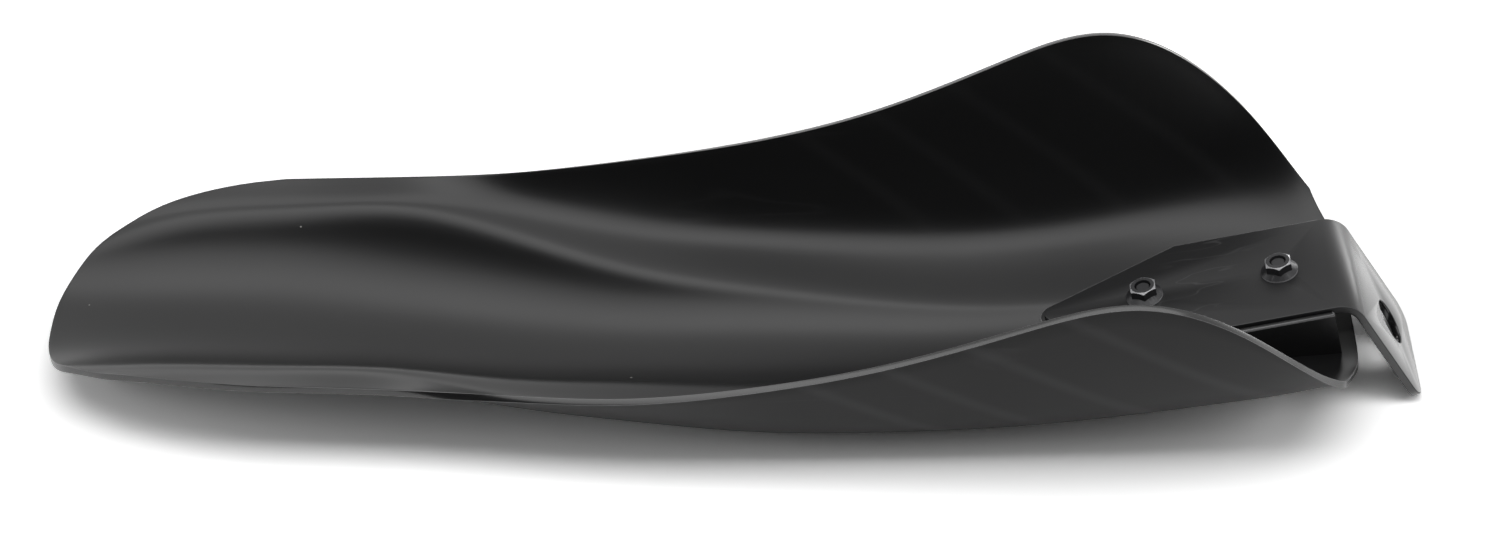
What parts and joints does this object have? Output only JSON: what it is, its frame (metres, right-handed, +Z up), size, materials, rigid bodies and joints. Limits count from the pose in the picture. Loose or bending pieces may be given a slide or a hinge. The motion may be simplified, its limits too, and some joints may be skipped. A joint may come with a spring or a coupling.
{
  "type": "scooter mudguard",
  "caption": "Black plastic scooter mudguard: a deep trough with raised side walls that runs into a stepped, rounded tail, with a bolted folded steel bracket at its mount end.",
  "frame": {"origin": "middle of the bounding box, at the floor on which the mudguard lies on its back", "axes": "+X from the tail towards the mount end, +Y across, +Z up out of the trough"},
  "size_m": [0.4382, 0.1454, 0.0785],
  "materials": {
    "shell_plastic": "black moulded plastic, satin gloss",
    "bracket_paint": "black paint on folded steel, semi-gloss",
    "fastener_black": "blackened steel"
  },
  "bodies": {
    "root": {"mudguard_shell": "shell_plastic", "mounting_bracket": "bracket_paint", "bracket_bolts": "fastener_black", "flange_nuts": "fastener_black"}
  },
  "joints": []
}
